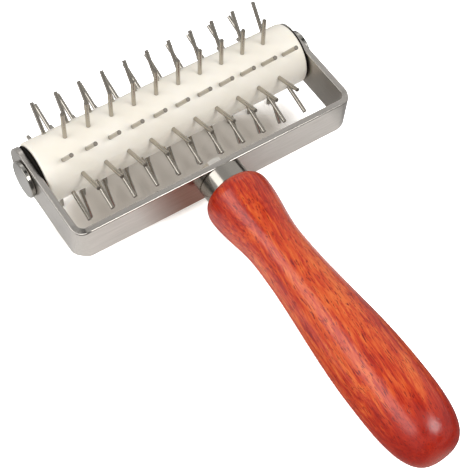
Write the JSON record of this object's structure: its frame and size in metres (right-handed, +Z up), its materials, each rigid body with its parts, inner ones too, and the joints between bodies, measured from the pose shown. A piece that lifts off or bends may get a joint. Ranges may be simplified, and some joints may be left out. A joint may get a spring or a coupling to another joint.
{
  "type": "dough docker",
  "caption": "Pinned plastic roller that turns on an axle between the arms of a bent steel strap, with a turned wooden handle, for pricking rolled dough.",
  "frame": {"origin": "centre of the bounding box's base, on the surface under the lowest pins", "axes": "+Y from the handle's end towards the roller, +X along the axle to the screwed head, +Z up, square to the plane of the strap"},
  "size_m": [0.1376, 0.21, 0.0545],
  "materials": {
    "satin_steel": "satin",
    "polished_steel": "polished",
    "pin_steel": "drawn wire",
    "zinc_steel": "bright",
    "cream_plastic": "moulded",
    "bushing_plastic": "moulded",
    "black_nylon": "stamped",
    "lacquered_wood": "lacquered"
  },
  "bodies": {
    "frame": {"frame_strap": "satin_steel", "axle_post": "polished_steel", "axle_screw": "polished_steel", "thrust_disc_left": "black_nylon", "thrust_disc_right": "black_nylon", "ferrule": "polished_steel", "tang_rod": "zinc_steel", "tang_nut": "zinc_steel", "handle": "lacquered_wood"},
    "roller": {"roller_core": "cream_plastic", "bushing_left": "bushing_plastic", "bushing_right": "bushing_plastic", "pin_row_01": "pin_steel", "pin_row_02": "pin_steel", "pin_row_03": "pin_steel", "pin_row_04": "pin_steel", "pin_row_05": "pin_steel", "pin_row_06": "pin_steel", "pin_row_07": "pin_steel", "pin_row_08": "pin_steel", "pin_row_09": "pin_steel", "pin_row_10": "pin_steel"}
  },
  "joints": [
    {"name": "roller_spin", "type": "hinge", "parent": "frame", "child": "roller", "pos_m": [0, 0.07848, 0.02724], "axis": [1, 0, 0], "continuous": true}
  ]
}
